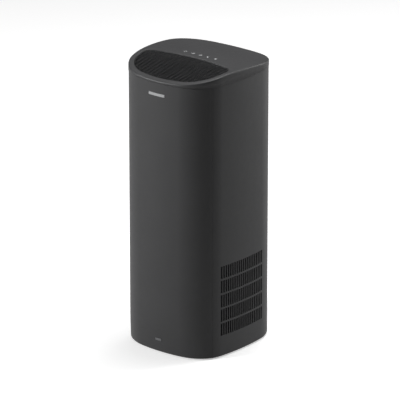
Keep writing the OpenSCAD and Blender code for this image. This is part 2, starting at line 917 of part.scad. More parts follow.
module front_cover() {
    low = [for (t = [0, 0.12, 0.3, 0.6, 1]) floor_gap + chin_fillet * t];
    chin = [for (i = [1:7]) low[4] + (chin_h - low[4]) * i / 7];
    color(shell_colour) loft([for (z = concat(low, chin, [wall_top])) cover_section(z)]);
}

module cover_liner() {
    color(inner_colour) difference() {
        union() {
            difference() {
                intersection() {
                    translate([0, 0, liner_z]) linear_extrude(liner_top - liner_z)
                        footprint(cover_t + fit);
                    slab(liner_back - liner_t, liner_back);
                }
                slab(-tall, tall, liner_z + 16, liner_top - 16, door_half);
            }
            at_pegs(peg_z) rotate([-90, 0, 0]) translate([0, 0, liner_back - 1])
                cylinder(h = frame_back + 1 - liner_back, r = peg_r);
        }
        at_pegs(magnet_z) rotate([-90, 0, 0]) translate([0, 0, liner_back - magnet_t])
            cylinder(h = 9, r = magnet_r + screw_gap);
    }
}

module cover_magnets() {
    gap = frame_front - plate_t - fit;
    color(steel_colour) at_pegs(magnet_z) translate([0, gap, 0]) rotate([90, 0, 0])
        cylinder(h = gap - liner_back + magnet_t, r = magnet_r);
}

module name_plate() {
    color("#c4c4c4") intersection() {
        band(-0.8, 0, name_z - name_h / 2, name_z + name_h / 2);
        translate([-name_w / 2, front_y - 20, 0]) cube([name_w, 60, tall]);
    }
}

module lower_badge() {
    lean = atan(2 * chin_in / chin_h * (1 - badge_z / chin_h));
    y = seam_y - cover_depth * tuck(badge_z);
    color("#8a8a8a") translate([0, y + 0.1, badge_z]) rotate([lean, 0, 0])
        translate([-badge_w / 2, -1.1, -3]) cube([badge_w, 0.8, 6]);
}

rear_housing();
base_tray();
rubber_feet();
front_frame();
left_intake_grille();
right_intake_grille();
bay_deck();
inlet_ring();
inlet_ring_screws();
fan_casing();
casing_screws();
fan_diffuser();
motor();
motor_grommets();
motor_screws();
motor_cover();
outlet_duct();
duct_screws();
top_cap();
outlet_grille();
touch_symbols();
control_board();
board_screws();
power_board();
power_board_screws();
inner_lead();
power_gland();
dust_sensor();
handle_cup();
catch_plates();
impeller();
motor_shaft();
shaft_nut();
filter_media();
filter_core();
prefilter_sleeve();
filter_bottom_cap();
filter_top_cap();
filter_gasket();
filter_pull_tab();
front_cover();
cover_liner();
cover_magnets();
name_plate();
lower_badge();
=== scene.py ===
import json
import math

import bmesh
import bpy
from mathutils import Matrix, Vector


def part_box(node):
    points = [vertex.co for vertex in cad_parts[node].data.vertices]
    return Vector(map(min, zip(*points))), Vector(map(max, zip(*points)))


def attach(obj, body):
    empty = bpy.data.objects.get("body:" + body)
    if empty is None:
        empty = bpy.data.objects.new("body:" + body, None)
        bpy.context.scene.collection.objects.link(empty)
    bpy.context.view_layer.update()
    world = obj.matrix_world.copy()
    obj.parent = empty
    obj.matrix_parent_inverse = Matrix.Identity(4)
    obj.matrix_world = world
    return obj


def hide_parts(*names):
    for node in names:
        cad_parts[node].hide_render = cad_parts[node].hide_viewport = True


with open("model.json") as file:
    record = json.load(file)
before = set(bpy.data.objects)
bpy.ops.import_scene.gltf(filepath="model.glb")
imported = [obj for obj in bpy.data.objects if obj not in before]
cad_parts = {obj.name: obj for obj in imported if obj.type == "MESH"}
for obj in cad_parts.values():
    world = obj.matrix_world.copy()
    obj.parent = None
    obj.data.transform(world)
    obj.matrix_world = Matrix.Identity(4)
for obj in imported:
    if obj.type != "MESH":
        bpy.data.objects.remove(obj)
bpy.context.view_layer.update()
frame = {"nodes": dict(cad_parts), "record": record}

bl_info = {
    "name": "Tower air purifier",
    "version": (1, 0, 0),
    "blender": (4, 5, 0),
    "location": "View3D > Sidebar > Purifier",
    "description": "Models and finishes the shells, grilles and works of a tower air purifier",
    "category": "Object",
}

MM = 0.001

COVER_LOW, COVER_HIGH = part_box("front_cover")
HOUSE_LOW, HOUSE_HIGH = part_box("rear_housing")
CAP_LOW, CAP_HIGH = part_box("top_cap")
WINDOW_LOW, WINDOW_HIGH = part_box("right_intake_grille")
GRIP_LOW, GRIP_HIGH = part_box("handle_cup")
GLAND_LOW, GLAND_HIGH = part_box("power_gland")
SENSOR_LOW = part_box("dust_sensor")[0]

HALF_WIDTH = HOUSE_HIGH.x
FRONT = COVER_LOW.y
REAR = HOUSE_HIGH.y
FOOT = COVER_LOW.z
WALL_TOP = HOUSE_HIGH.z
CAP_JOINT = WALL_TOP + 0.4 * MM
CREST = CAP_HIGH.z

# Steps along each arc of the outlines
FRONT_STEPS = 10
CORNER_STEPS = 36
SIDE_STEPS = 10
REAR_STEPS = 12
# The outlet's corner and rear edge, and the cap's side, corner and rear. Both add up to 48,
# because the two outlines pair point by point.
OUTLET_STEPS = (20, 28)
CAP_STEPS = (8, 26, 14)

QUARTER = math.pi / 2


# ---- sizes and colours that a user may change ----

def length(name, description, default):
    return bpy.props.FloatProperty(
        name=name, description=description, default=default, subtype="DISTANCE", unit="LENGTH", precision=4
    )


def shade(name, description, default):
    return bpy.props.StringProperty(name=name, description=description + ", as sRGB hex", default=default)


class PurifierSizes(bpy.types.PropertyGroup):
    front_radius: length("Front radius", "Radius of the bowed front face", 334 * MM)
    side_radius: length("Side radius", "Radius of the bowed side faces", 604 * MM)
    rear_radius: length("Rear radius", "Radius of the bowed rear face", 375 * MM)
    front_corner: length("Front corner", "Radius of the front corners", 99 * MM)
    rear_corner: length("Rear corner", "Radius of the rear corners", 96 * MM)
    widest: length("Widest section", "Distance of the widest section behind the middle", 34 * MM)
    cover_depth: length("Cover depth", "Depth of the front cover at the floor end of the seam", 57.5 * MM)
    chin_in: length("Chin tuck", "How far the chin tucks in at the floor", 12 * MM)
    chin_height: length("Chin height", "Height at which the chin begins", 92 * MM)
    lower_edge: length("Lower edge", "Radius of the rounded lower edge", 4.5 * MM)
    cover_wall: length("Cover wall", "Wall thickness of the front cover", 2.6 * MM)
    house_wall: length("Housing wall", "Wall thickness of the rear housing", 2.8 * MM)
    seam_fill: length("Seam fill", "How far each shell reaches into the gap between them", 0.38 * MM)
    cap_wall: length("Cap wall", "Wall thickness of the cap", 2.4 * MM)
    cap_edge: length("Cap edge", "Radius of the cap's rounded edge", 3.4 * MM)
    cap_edge_height: length("Cap edge height", "Height of the cap at its front and rear", 6.8 * MM)
    crest_forward: length("Crest", "Distance of the crest in front of the middle", 45 * MM)
    rim: length("Outlet rim", "Width of the rim round the outlet", 13 * MM)
    outlet_back: length("Outlet rear edge", "Distance of the outlet's rear edge before the middle", 11 * MM)
    outlet_radius: length("Outlet rear bow", "Radius of the outlet's bowed rear edge", 416 * MM)
    outlet_corner: length("Outlet corner", "Radius of the outlet's rear corners", 28 * MM)
    slot_width: length("Slot width", "Width of an intake slot", 4.6 * MM)
    slot_pitch: length("Slot pitch", "Distance between the middles of two slots", 7.6 * MM)
    slot_height: length("Slot height", "Height of an intake slot", 33.4 * MM)
    row_pitch: length("Row pitch", "Distance between the feet of two rows of slots", 38.4 * MM)
    slots: bpy.props.IntProperty(name="Slots", description="Slots in a row", default=21)
    rows: bpy.props.IntProperty(name="Rows", description="Rows of slots", default=5)
    vane_pitch: length("Vane pitch", "Distance between the middles of two outlet vanes", 6 * MM)
    vane: length("Vane thickness", "Thickness of an outlet vane", 1.8 * MM)
    rib_pitch: length("Rib pitch", "Distance between two ribs across the vanes", 12 * MM)


class PurifierColours(bpy.types.PropertyGroup):
    graphite: shade("Graphite", "Colour of the outer shells", "#404041")
    black: shade("Black", "Colour of the grille, frame and base", "#2a2a2b")
    white: shade("White", "Colour of the fan parts and filter caps", "#d9d9d5")
    rubber: shade("Rubber", "Colour of the feet and the gland", "#1b1b1c")
    steel: shade("Steel", "Colour of zinc plated parts", "#a7a9ab")
    nickel: shade("Nickel", "Colour of the magnets", "#c6c2ba")
    paper: shade("Paper", "Colour of the pleated filter paper", "#e8e7e0")
    mesh: shade("Mesh", "Colour of the prefilter sleeve", "#3a3b3e")
    foam: shade("Foam", "Colour of the gasket", "#2f2f31")
    webbing: shade("Webbing", "Colour of the pull tab", "#48688a")
    board: shade("Board", "Colour of the circuit boards", "#1d5233")
    pale: shade("Pale print", "Colour of the symbols and the blank plate", "#b9babb")
    badge: shade("Badge", "Colour of the lower badge", "#77787a")
    floor: shade("Floor", "Colour of the floor", "#f2f2f2")


def sizes():
    return bpy.context.scene.purifier_sizes


def colours():
    return bpy.context.scene.purifier_colours


# ---- outline of the body: tangent arcs, as distances in from the wall's face ----

def meeting(first, r1, second, r2, side):
    """Meeting point of two circles; side picks one of the two."""
    d = second - first
    along = d.normalized()
    t = (r1 * r1 - r2 * r2 + d.length_squared) / (2 * d.length)
    return first + along * t + Vector((-along.y, along.x)) * side * math.sqrt(r1 * r1 - t * t)


def heading(v):
    return math.atan2(v.y, v.x)


def towards(angle):
    return Vector((math.cos(angle), math.sin(angle)))


def even_turns(start, end, steps):
    """Angles of an arc's even steps, without its first."""
    return [start + (end - start) * i / steps for i in range(1, steps + 1)]


def arc(centre, radius, start, end, steps):
    """Points along an arc, without its first."""
    return [centre + towards(a) * radius for a in even_turns(start, end, steps)]


class Plan:
    """Centres and turning angles of the arcs that make the footprint."""

    def __init__(self, s):
        self.s = s
        self.front = Vector((0, FRONT + s.front_radius))
        self.rear = Vector((0, REAR - s.rear_radius))
        self.side = Vector((HALF_WIDTH - s.side_radius, s.widest))
        f, b = s.front_corner, s.rear_corner
        self.corner_f = meeting(self.front, s.front_radius - f, self.side, s.side_radius - f, 1)
        self.corner_b = meeting(self.rear, s.rear_radius - b, self.side, s.side_radius - b, -1)
        self.turn_f = heading(self.corner_f - self.front)
        self.turn_sf = heading(self.corner_f - self.side)
        self.turn_sb = heading(self.corner_b - self.side)
        self.turn_b = heading(self.corner_b - self.rear)

    def front_to(self, inset, last):
        """From the front middle round the front corner to an angle on it."""
        s = self.s
        return (
            [Vector((0, FRONT + inset))]
            + arc(self.front, s.front_radius - inset, -QUARTER, self.turn_f, FRONT_STEPS)
            + arc(self.corner_f, s.front_corner - inset, self.turn_f, last, CORNER_STEPS)
        )

    def corner_at(self, inset, y):
        """Angle on the front corner where its arc reaches a depth y."""
        return math.asin((y - self.corner_f.y) / (self.s.front_corner - inset))


def both_sides(right):
    """A whole outline from its right half, from the left end to the right one."""
    return [Vector((-p.x, p.y)) for p in reversed(right[1:])] + right


def all_round(right):
    """A closed outline from its right half, from the front middle round to it again."""
    return right + [Vector((-p.x, p.y)) for p in reversed(right[1:-1])]


def crown(y):
    """Height of the crowned top at a depth; it falls sooner in front of the crest than behind it."""
    s = sizes()
    fall = (CREST - CAP_JOINT) - s.cap_edge_height
    if y < -s.crest_forward:
        return CREST - fall * ((-s.crest_forward - y) / (-s.crest_forward - FRONT)) ** 1.7
    return CREST - fall * ((y + s.crest_forward) / (REAR + s.crest_forward)) ** 2


def tuck(y, z):
    """Depth of a point of the cover once the chin has drawn it in."""
    s = sizes()
    seam = FRONT + s.cover_depth
    if z >= s.chin_height or y > seam:
        return y
    return seam + (y - seam) * (1 - s.chin_in / s.cover_depth * (1 - z / s.chin_height) ** 2)


def edge_inset(z):
    """Inset of the rounded lower edge at a height."""
    radius = sizes().lower_edge
    t = min(1.0, (z - FOOT) / radius)
    return radius * (1 - math.sqrt(max(0.0, 1 - (1 - t) ** 2)))


def edge_heights():
    """Heights of the rows round the lower edge, closer together where it turns in."""
    radius = sizes().lower_edge
    return [FOOT + radius * (1 - math.cos(math.radians(a))) for a in (0, 22, 42, 58, 74, 90)]


# ---- mesh tools ----

def raise_rows(bm, rows, closed=False):
    """Extrudes the first row of points through all the others."""
    ring = [bm.verts.new(p) for p in rows[0]]
    ends = ring[1:] + ring[:1] if closed else ring[1:]
    edges = [bm.edges.new(pair) for pair in zip(ring, ends)]
    for row in rows[1:]:
        made = bmesh.ops.extrude_edge_only(bm, edges=edges)["geom"]
        fresh = {g for g in made if isinstance(g, bmesh.types.BMVert)}
        edges = [g for g in made if isinstance(g, bmesh.types.BMEdge) and set(g.verts) <= fresh]
        partners = [next(e.other_vert(v) for e in v.link_edges if e.other_vert(v) in fresh) for v in ring]
        for vert, place in zip(partners, row):
            vert.co = place
        ring = partners
    return ring


def outwards(bm):
    """Turns an open shell so that its faces point away from its middle axis."""
    bmesh.ops.recalc_face_normals(bm, faces=bm.faces[:])
    widest = max(bm.faces, key=lambda f: abs(f.calc_center_median().x))
    if widest.normal.x * widest.calc_center_median().x < 0:
        bmesh.ops.reverse_faces(bm, faces=bm.faces[:])


def piece(name, bm, body, slot, *nodes):
    """Makes an object of a bmesh, which rides on a body and stands for CAD nodes."""
    mesh = bpy.data.meshes.new(name)
    bm.to_mesh(mesh)
    bm.free()
    mesh.polygons.foreach_set("use_smooth", [True] * len(mesh.polygons))
    made = bpy.data.objects.new(name, mesh)
    bpy.context.scene.collection.objects.link(made)
    made.data.materials.append(material(slot))
    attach(made, body)
    if nodes:
        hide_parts(*nodes)
    return made


def thicken(made, wall):
    """Gives an open shell a wall, inwards from its surface."""
    solid = made.modifiers.new("wall", "SOLIDIFY")
    solid.thickness = wall
    solid.offset = -1
    solid.use_even_offset = True


def soften(made, width, segments=2):
    """Rounds the sharp edges and keeps the broad faces' shading even."""
    bevel = made.modifiers.new("edges", "BEVEL")
    bevel.width = width
    bevel.segments = segments
    bevel.limit_method = "ANGLE"
    bevel.angle_limit = math.radians(40)
    even = made.modifiers.new("even shading", "WEIGHTED_NORMAL")
    even.keep_sharp = True


def block(bm, low, high):
    """A box between two corners, added to a bmesh."""
    low, high = Vector(low), Vector(high)
    place = Matrix.Translation((low + high) / 2) @ Matrix.Diagonal((*(high - low), 1))
    return bmesh.ops.create_cube(bm, size=1, matrix=place)["verts"]


def cut(made, name, bm):
    """Takes a closed cutter away from a piece and settles the piece's modifiers."""
    mesh = bpy.data.meshes.new(name)
    bm.to_mesh(mesh)
    bm.free()
    cutter = bpy.data.objects.new(name, mesh)
    bpy.context.scene.collection.objects.link(cutter)
    hole = made.modifiers.new("holes", "BOOLEAN")
    hole.object = cutter
    hole.solver = "EXACT"
    bpy.context.view_layer.update()
    settled = bpy.data.meshes.new_from_object(made.evaluated_get(bpy.context.evaluated_depsgraph_get()))
    made.modifiers.clear()
    made.data = settled
    bpy.data.objects.remove(cutter)


# ---- materials ----

def linear(code):
    """sRGB hex to linear RGBA."""
    parts = (int(code[i:i + 2], 16) / 255 for i in (1, 3, 5))
    return (*(c / 12.92 if c <= 0.04045 else ((c + 0.055) / 1.055) ** 2.4 for c in parts), 1.0)


def darker(code, share):
    r, g, b, a = linear(code)
    return (r * share, g * share, b * share, a)


def add(tree, kind, inputs=None, **settings):
    """Adds one node; inputs maps a socket to a value or to another node's output."""
    made = tree.nodes.new(kind)
    for name, value in settings.items():
        setattr(made, name, value)
    for socket, value in (inputs or {}).items():
        if isinstance(value, bpy.types.NodeSocket):
            tree.links.new(value, made.inputs[socket])
        else:
            made.inputs[socket].default_value = value
    return made


def blank(name):
    """A material with no nodes, and its tree."""
    made = bpy.data.materials.new(name)
    made.use_nodes = True
    made.node_tree.nodes.clear()
    return made, made.node_tree


def surface(tree, **sockets):
    """Principled surface wired to the output; spaces in socket names are written as underscores."""
    inputs = {name.replace("_", " "): value for name, value in sockets.items()}
    shader = add(tree, "ShaderNodeBsdfPrincipled", inputs)
    add(tree, "ShaderNodeOutputMaterial", {"Surface": shader.outputs[0]})
    return shader


def object_space(tree):
    return add(tree, "ShaderNodeTexCoord").outputs["Object"]


def noise(tree, where, millimetres, detail=2.0, roughness=0.5):
    """Noise whose features are about this many millimetres across."""
    return add(tree, "ShaderNodeTexNoise", {
        "Vector": where, "Scale": 1 / (millimetres * MM), "Detail": detail, "Roughness": roughness,
    }).outputs[0]


def spread(tree, value, low, high):
    """Noise, which runs from about 0.3 to 0.7, mapped to a range."""
    return add(tree, "ShaderNodeMapRange", {
        "Value": value, "From Min": 0.3, "From Max": 0.7, "To Min": low, "To Max": high,
    }).outputs[0]


def two_tone(tree, factor, first, second):
    mix = add(tree, "ShaderNodeMix", {0: factor, 6: first, 7: second}, data_type="RGBA")
    return mix.outputs[2]


def bumps(tree, height, strength, millimetres):
    """A normal bent by a height whose full range stands for this many millimetres."""
    inputs = {"Height": height, "Strength": strength, "Distance": millimetres * MM}
    return add(tree, "ShaderNodeBump", inputs).outputs[0]


def moulded_abs(name, code, rough, grain, depth):
    """ABS moulded in a spark-eroded tool: a fine matt grain, and broad drifts of tone and gloss."""
    made, tree = blank(name)
    where = object_space(tree)
    drift = spread(tree, noise(tree, where, 90, 3), 0, 1)
    fine = noise(tree, where, grain, 4, 0.6)
    scuff = noise(tree, where, 14, 6, 0.7)
    gloss = add(tree, "ShaderNodeMath", {
        0: spread(tree, scuff, rough - 0.05, rough + 0.05), 1: spread(tree, fine, -0.03, 0.03),
    }, operation="ADD").outputs[0]
    surface(
        tree, Base_Color=two_tone(tree, drift, darker(code, 0.955), darker(code, 1.045)),
        Roughness=gloss, IOR=1.46, Normal=bumps(tree, fine, depth, 0.12),
    )
    return made


def graphite_abs():
    # Graphite ABS, spark-eroded tool finish: soft, broad highlights and a faint grain.
    return moulded_abs("graphite moulded ABS", colours().graphite, 0.47, 1.6, 0.16)


def black_abs():
    # Black ABS, plain moulded: slightly glossier than the shells, because it isn't grained.
    return moulded_abs("black moulded ABS", colours().black, 0.42, 1.2, 0.10)


def white_polypropylene():
    # White polypropylene: waxy satin surface with faint flow marks.
    made, tree = blank("white polypropylene")
    where = object_space(tree)
    flow = spread(tree, noise(tree, where, 40, 4), 0, 1)
    surface(
        tree, Base_Color=two_tone(tree, flow, darker(colours().white, 0.96), linear(colours().white)),
        Roughness=spread(tree, noise(tree, where, 9, 4), 0.33, 0.43), IOR=1.49,
        Normal=bumps(tree, noise(tree, where, 1.4, 3), 0.12, 0.1),
    )
    return made


def black_rubber():
    # Moulded rubber: dull, dusty in the hollows, with a fine cast texture.
    made, tree = blank("black moulded rubber")
    where = object_space(tree)
    dust = spread(tree, noise(tree, where, 5, 5, 0.7), 0, 1)
    surface(
        tree, Base_Color=two_tone(tree, dust, linear(colours().rubber), darker(colours().rubber, 1.9)),
        Roughness=spread(tree, noise(tree, where, 3, 3), 0.68, 0.82), IOR=1.52,
        Normal=bumps(tree, noise(tree, where, 0.9, 4), 0.3, 0.12),
    )
    return made


def plated(name, code, rough):
    """Plated sheet metal: rolling lines along X under a thin bright plating, clouded in places."""
    made, tree = blank(name)
    where = object_space(tree)
    lines = add(tree, "ShaderNodeMapping", {"Vector": where, "Scale": (0.05, 1.0, 1.0)}).outputs[0]
    rolled = noise(tree, lines, 0.8, 3)
    cloud = spread(tree, noise(tree, where, 7, 4), 0, 1)
    surface(
        tree, Base_Color=two_tone(tree, cloud, darker(code, 0.88), linear(code)), Metallic=1.0,
        Roughness=spread(tree, rolled, rough - 0.07, rough + 0.08), Normal=bumps(tree, rolled, 0.15, 0.05),
    )
    return made


def zinc_steel():
    # Zinc plated steel: grey, slightly clouded, half bright.
    return plated("zinc plated steel", colours().steel, 0.34)


def nickel_magnet():
    # Nickel plated neodymium: warmer and brighter than zinc.
    return plated("nickel plating", colours().nickel, 0.22)


def filter_paper():
    # Melt-blown filter paper: chalky, fibrous, greyer where dust gathers in the folds.
    made, tree = blank("pleated filter paper")
    where = object_space(tree)
    fibre = noise(tree, where, 0.9, 6, 0.7)
    dust = spread(tree, noise(tree, where, 22, 4), 0, 1)
    surface(
        tree, Base_Color=two_tone(tree, dust, darker(colours().paper, 0.86), linear(colours().paper)),
        Roughness=0.92, Normal=bumps(tree, fibre, 0.35, 0.15),
    )
    return made


def woven(name, code, thread, rough):
    """Plain weave: two crossed waves, one up and one across, whose bands are a thread apart, with painted
    shade darkening the dips between the threads.
    """
    made, tree = blank(name)
    where = object_space(tree)
    # A wave texture repeats 20 times in 2 pi at a scale of 1.
    scale = 2 * math.pi / (20 * thread * MM)
    wave = {"Vector": where, "Scale": scale}
    up = add(tree, "ShaderNodeTexWave", wave, bands_direction="Z").outputs[1]
    across = add(tree, "ShaderNodeTexWave", wave, bands_direction="X").outputs[1]
    threads = add(tree, "ShaderNodeMath", {0: up, 1: across}, operation="MAXIMUM").outputs[0]
    surface(
        # Painted shade: between the threads the colour falls to 0.45 of the thread's colour.
        tree, Base_Color=two_tone(tree, threads, darker(code, 0.45), linear(code)),
        Roughness=rough, Normal=bumps(tree, threads, 0.6, 0.3),
    )
    return made


def prefilter_mesh():
    # Nylon mesh over the drum: threads 1.2 mm apart, with painted shade between them.
    return woven("nylon prefilter mesh", colours().mesh, 1.2, 0.75)


def tab_webbing():
    # Woven polyester tape: threads 0.9 mm apart with a dull sheen, and painted shade between them.
    return woven("polyester webbing", colours().webbing, 0.9, 0.7)


def gasket_foam():
    # Open-cell polyurethane foam: small pores all over, darkened with painted shade.
    made, tree = blank("open cell foam")
    where = object_space(tree)
    pores = add(tree, "ShaderNodeTexVoronoi", {"Vector": where, "Scale": 1 / (1.1 * MM)}).outputs[0]
    surface(
        # Painted shade in the pores: they fall to half the foam's colour, and the cell walls between them
        # rise above it.
        tree, Base_Color=two_tone(tree, pores, darker(colours().foam, 0.5), darker(colours().foam, 1.4)),
        Roughness=0.95, Normal=bumps(tree, pores, 0.7, 0.4),
    )
    return made


def circuit_board():
    # Glass-epoxy board under green solder mask: tracks show as raised, paler lines.
    made, tree = blank("solder masked board")
    where = object_space(tree)
    tracks = add(tree, "ShaderNodeTexBrick", {
        "Vector": where, "Scale": 60.0, "Mortar Size": 0.02,
        "Color1": darker(colours().board, 0.8), "Color2": linear(colours().board),
        "Mortar": darker(colours().board, 1.7),
    })
    surface(
        tree, Base_Color=tracks.outputs[0], Roughness=0.28, IOR=1.5,
        Normal=bumps(tree, tracks.outputs[1], 0.3, 0.05),
    )
    return made


def pale_print():
    # Pale satin inlay: faint drift so it doesn't read as a light.
    return moulded_abs("pale satin inlay", colours().pale, 0.5, 0.8, 0.08)


def badge_grey():
    # Mid-grey satin plate.
    return moulded_abs("grey satin plate", colours().badge, 0.4, 0.8, 0.08)


FINISHES = {
    "graphite_shell": graphite_abs, "black_plastic": black_abs, "white_plastic": white_polypropylene,
    "black_rubber": black_rubber, "zinc_steel": zinc_steel, "magnet_nickel": nickel_magnet,
    "filter_paper": filter_paper, "prefilter_mesh": prefilter_mesh, "gasket_foam": gasket_foam,
    "tab_webbing": tab_webbing, "circuit_board": circuit_board, "pale_print": pale_print,
    "badge_grey": badge_grey,
}
made_finishes = {}


def material(slot):
    """The finish of a material slot, made once."""
    if slot not in made_finishes:
        made_finishes[slot] = FINISHES[slot]()
    return made_finishes[slot]


# ---- operators ----

class PURIFIER_OT_finish_works(bpy.types.Operator):
    """Gives every carried-over part the finish of its material slot"""

    bl_idname = "purifier.finish_works"
    bl_label = "Finish the works"

    def execute(self, context):
        for part in frame["record"]["subparts"]:
            slots = frame["nodes"][part["node"]].data.materials
            slots.clear()
            slots.append(material(part["material_slot"]))
        return {"FINISHED"}


class PURIFIER_OT_front_cover(bpy.types.Operator):
    """Front cover: a bowed shell whose chin tucks in over a rounded lower edge"""

    bl_idname = "purifier.front_cover"
    bl_label = "Front cover"

    def execute(self, context):
        s = sizes()
        plan = Plan(s)
        heights = edge_heights()
        chin_foot, chin_rows = heights[-1], 16
        for i in range(1, chin_rows + 1):
            heights.append(chin_foot + (s.chin_height - chin_foot) * i / chin_rows)
        plain_rows = [0.3, 0.5]
        heights += plain_rows + [COVER_HIGH.z]
        rows = []
        for z in heights:
            inset = edge_inset(z)
            half = plan.front_to(inset, plan.corner_at(inset, COVER_HIGH.y + s.seam_fill))
            rows.append([Vector((p.x, tuck(p.y, z), z)) for p in both_sides(half)])
        bm = bmesh.new()
        raise_rows(bm, rows)
        outwards(bm)
        made = piece("cover_shell", bm, "cover", "graphite_shell", "front_cover")
        thicken(made, s.cover_wall)
        soften(made, 0.4 * MM)
        return {"FINISHED"}


class PURIFIER_OT_rear_housing(bpy.types.Operator):
    """Rear housing: a wrapped shell with rows of slots low on both sides and a grip behind"""

    bl_idname = "purifier.rear_housing"
    bl_label = "Rear housing and intakes"

    def slot_depths(self, s):
        """Depths of the slots' front and rear edges."""
        spare = WINDOW_HIGH.y - WINDOW_LOW.y - (s.slots - 1) * s.slot_pitch - s.slot_width
        edges = (WINDOW_LOW.y + spare / 2 + i * s.slot_pitch for i in range(s.slots))
        return [(edge, edge + s.slot_width) for edge in edges]

    def slot_heights(self, s):
        """Heights of the rows' lower and upper edges."""
        spare = WINDOW_HIGH.z - WINDOW_LOW.z - (s.rows - 1) * s.row_pitch - s.slot_height
        feet = (WINDOW_LOW.z + spare / 2 + i * s.row_pitch for i in range(s.rows))
        return [(foot, foot + s.slot_height) for foot in feet]

    def stops(self, centre, radius, start, end, steps, depths):
        """Angles along an arc: even steps, and wherever it reaches a slot's edge."""
        turns = even_turns(start, end, steps)
        for y in depths:
            lift = (y - centre.y) / radius
            if math.sin(start) < lift < math.sin(end):
                turns.append(math.asin(lift))
        return sorted(turns)

    def outline(self, plan, inset, depths):
        """Right half of the housing, from the rear middle to the seam."""
        s = plan.s
        seam_y = HOUSE_LOW.y - s.seam_fill
        arcs = (
            (plan.corner_f, s.front_corner, plan.corner_at(0, seam_y), plan.turn_sf, FRONT_STEPS),
            (plan.side, s.side_radius, plan.turn_sf, plan.turn_sb, 1),
            (plan.corner_b, s.rear_corner, plan.turn_sb, plan.turn_b, CORNER_STEPS),
            (plan.rear, s.rear_radius, plan.turn_b, QUARTER, REAR_STEPS),
        )
        first = plan.corner_at(inset, seam_y)
        points = [plan.corner_f + towards(first) * (s.front_corner - inset)]
        for centre, radius, start, end, steps in arcs:
            for turn in self.stops(centre, radius, start, end, steps, depths):
                points.append(centre + towards(turn) * (radius - inset))
        return list(reversed(points))

    def execute(self, context):
        s = sizes()
        plan = Plan(s)
        slots, rows_of_slots = self.slot_depths(s), self.slot_heights(s)
        depths = [y for pair in slots for y in pair]
        plain_rows = [0.4, 0.6]
        heights = edge_heights() + [z for pair in rows_of_slots for z in pair]
        heights += plain_rows + [WALL_TOP]
        rows = []
        for z in heights:
            half = self.outline(plan, edge_inset(z), depths)
            rows.append([Vector((*p, z)) for p in both_sides(half)])
        bm = bmesh.new()
        raise_rows(bm, rows)
        open_faces = []
        for face in bm.faces:
            middle = face.calc_center_median()
            in_row = any(low < middle.z < high for low, high in rows_of_slots)
            in_slot = any(low < middle.y < high for low, high in slots)
            if in_row and in_slot and abs(middle.x) > HALF_WIDTH / 2:
                open_faces.append(face)
        bmesh.ops.delete(bm, geom=open_faces, context="FACES")
        outwards(bm)
        nodes = ("rear_housing", "left_intake_grille", "right_intake_grille")
        made = piece("housing_shell", bm, "cabinet", "graphite_shell", *nodes)
        thicken(made, s.house_wall)
        cut(made, "housing_holes", self.holes())
        soften(made, 0.5 * MM)
        return {"FINISHED"}

    def holes(self):
        """Cutter for the grip's mouth, the sensor's vents and the gland."""
        bm = bmesh.new()
        self.grip_mouth(bm)
        self.vents(bm)
        self.gland_hole(bm)
        return bm

    def grip_mouth(self, bm):
        """A box through the rear wall, rounded along its four long edges."""
        rim, reach_in, reach_out, corner = 2.5 * MM, 12 * MM, 10 * MM, 9 * MM
        verts = block(
            bm, (GRIP_LOW.x + rim, GRIP_HIGH.y - reach_in, GRIP_LOW.z + rim),
            (GRIP_HIGH.x - rim, REAR + reach_out, GRIP_HIGH.z - rim),
        )
        edges = {e for v in verts for e in v.link_edges}
        along = [e for e in edges if abs((e.verts[0].co - e.verts[1].co).y) > MM]
        bmesh.ops.bevel(
            bm, geom=along, offset=corner, segments=6, profile=0.5, affect="EDGES", material=-1,
        )

    def vents(self, bm):
        """A row of upright slits in front of the sensor."""
        count, first, pitch, width = 6, -94 * MM, 5 * MM, 2.4 * MM
        low, high = SENSOR_LOW.z + 6 * MM, SENSOR_LOW.z + 28 * MM
        for i in range(count):
            x = first + pitch * i
            block(bm, (x, SENSOR_LOW.y, low), (x + width, REAR, high))

    def gland_hole(self, bm):
        radius, depth = 9.1 * MM, 40 * MM
        x, z = (GLAND_LOW.x + GLAND_HIGH.x) / 2, (GLAND_LOW.z + GLAND_HIGH.z) / 2
        bmesh.ops.create_cone(
            bm, cap_ends=True, segments=48, radius1=radius, radius2=radius, depth=depth,
            matrix=Matrix.Translation((x, REAR, z)) @ Matrix.Rotation(QUARTER, 4, "X"),
        )


def outlet_outline(plan, inset):
    """Two parts of the outlet's right half: along the rim, then round its rear corner and edge."""
    s = plan.s
    edge = Vector((0, -s.outlet_back - s.outlet_radius))
    corner = meeting(
        plan.side, s.side_radius - s.rim - s.outlet_corner, edge, s.outlet_radius - s.outlet_corner, 1
    )
    leave = heading(corner - plan.side)
    turn = heading(corner - edge)
    near = plan.front_to(s.rim + inset, plan.turn_sf)
    near += arc(plan.side, s.side_radius - s.rim - inset, plan.turn_sf, leave, SIDE_STEPS)
    far = arc(corner, s.outlet_corner - inset, leave, turn, OUTLET_STEPS[0])
    far += arc(edge, s.outlet_radius - inset, turn, QUARTER, OUTLET_STEPS[1])
    return near, far, leave


def cap_outline(plan, inset, leave):
    """Two parts of the cap's right half that pair point by point with the outlet's."""
    s = plan.s
    near = plan.front_to(inset, plan.turn_sf)
    near += arc(plan.side, s.side_radius - inset, plan.turn_sf, leave, SIDE_STEPS)
    far = arc(plan.side, s.side_radius - inset, leave, plan.turn_sb, CAP_STEPS[0])
    far += arc(plan.corner_b, s.rear_corner - inset, plan.turn_sb, plan.turn_b, CAP_STEPS[1])
    far += arc(plan.rear, s.rear_radius - inset, plan.turn_b, QUARTER, CAP_STEPS[2])
    return near, far


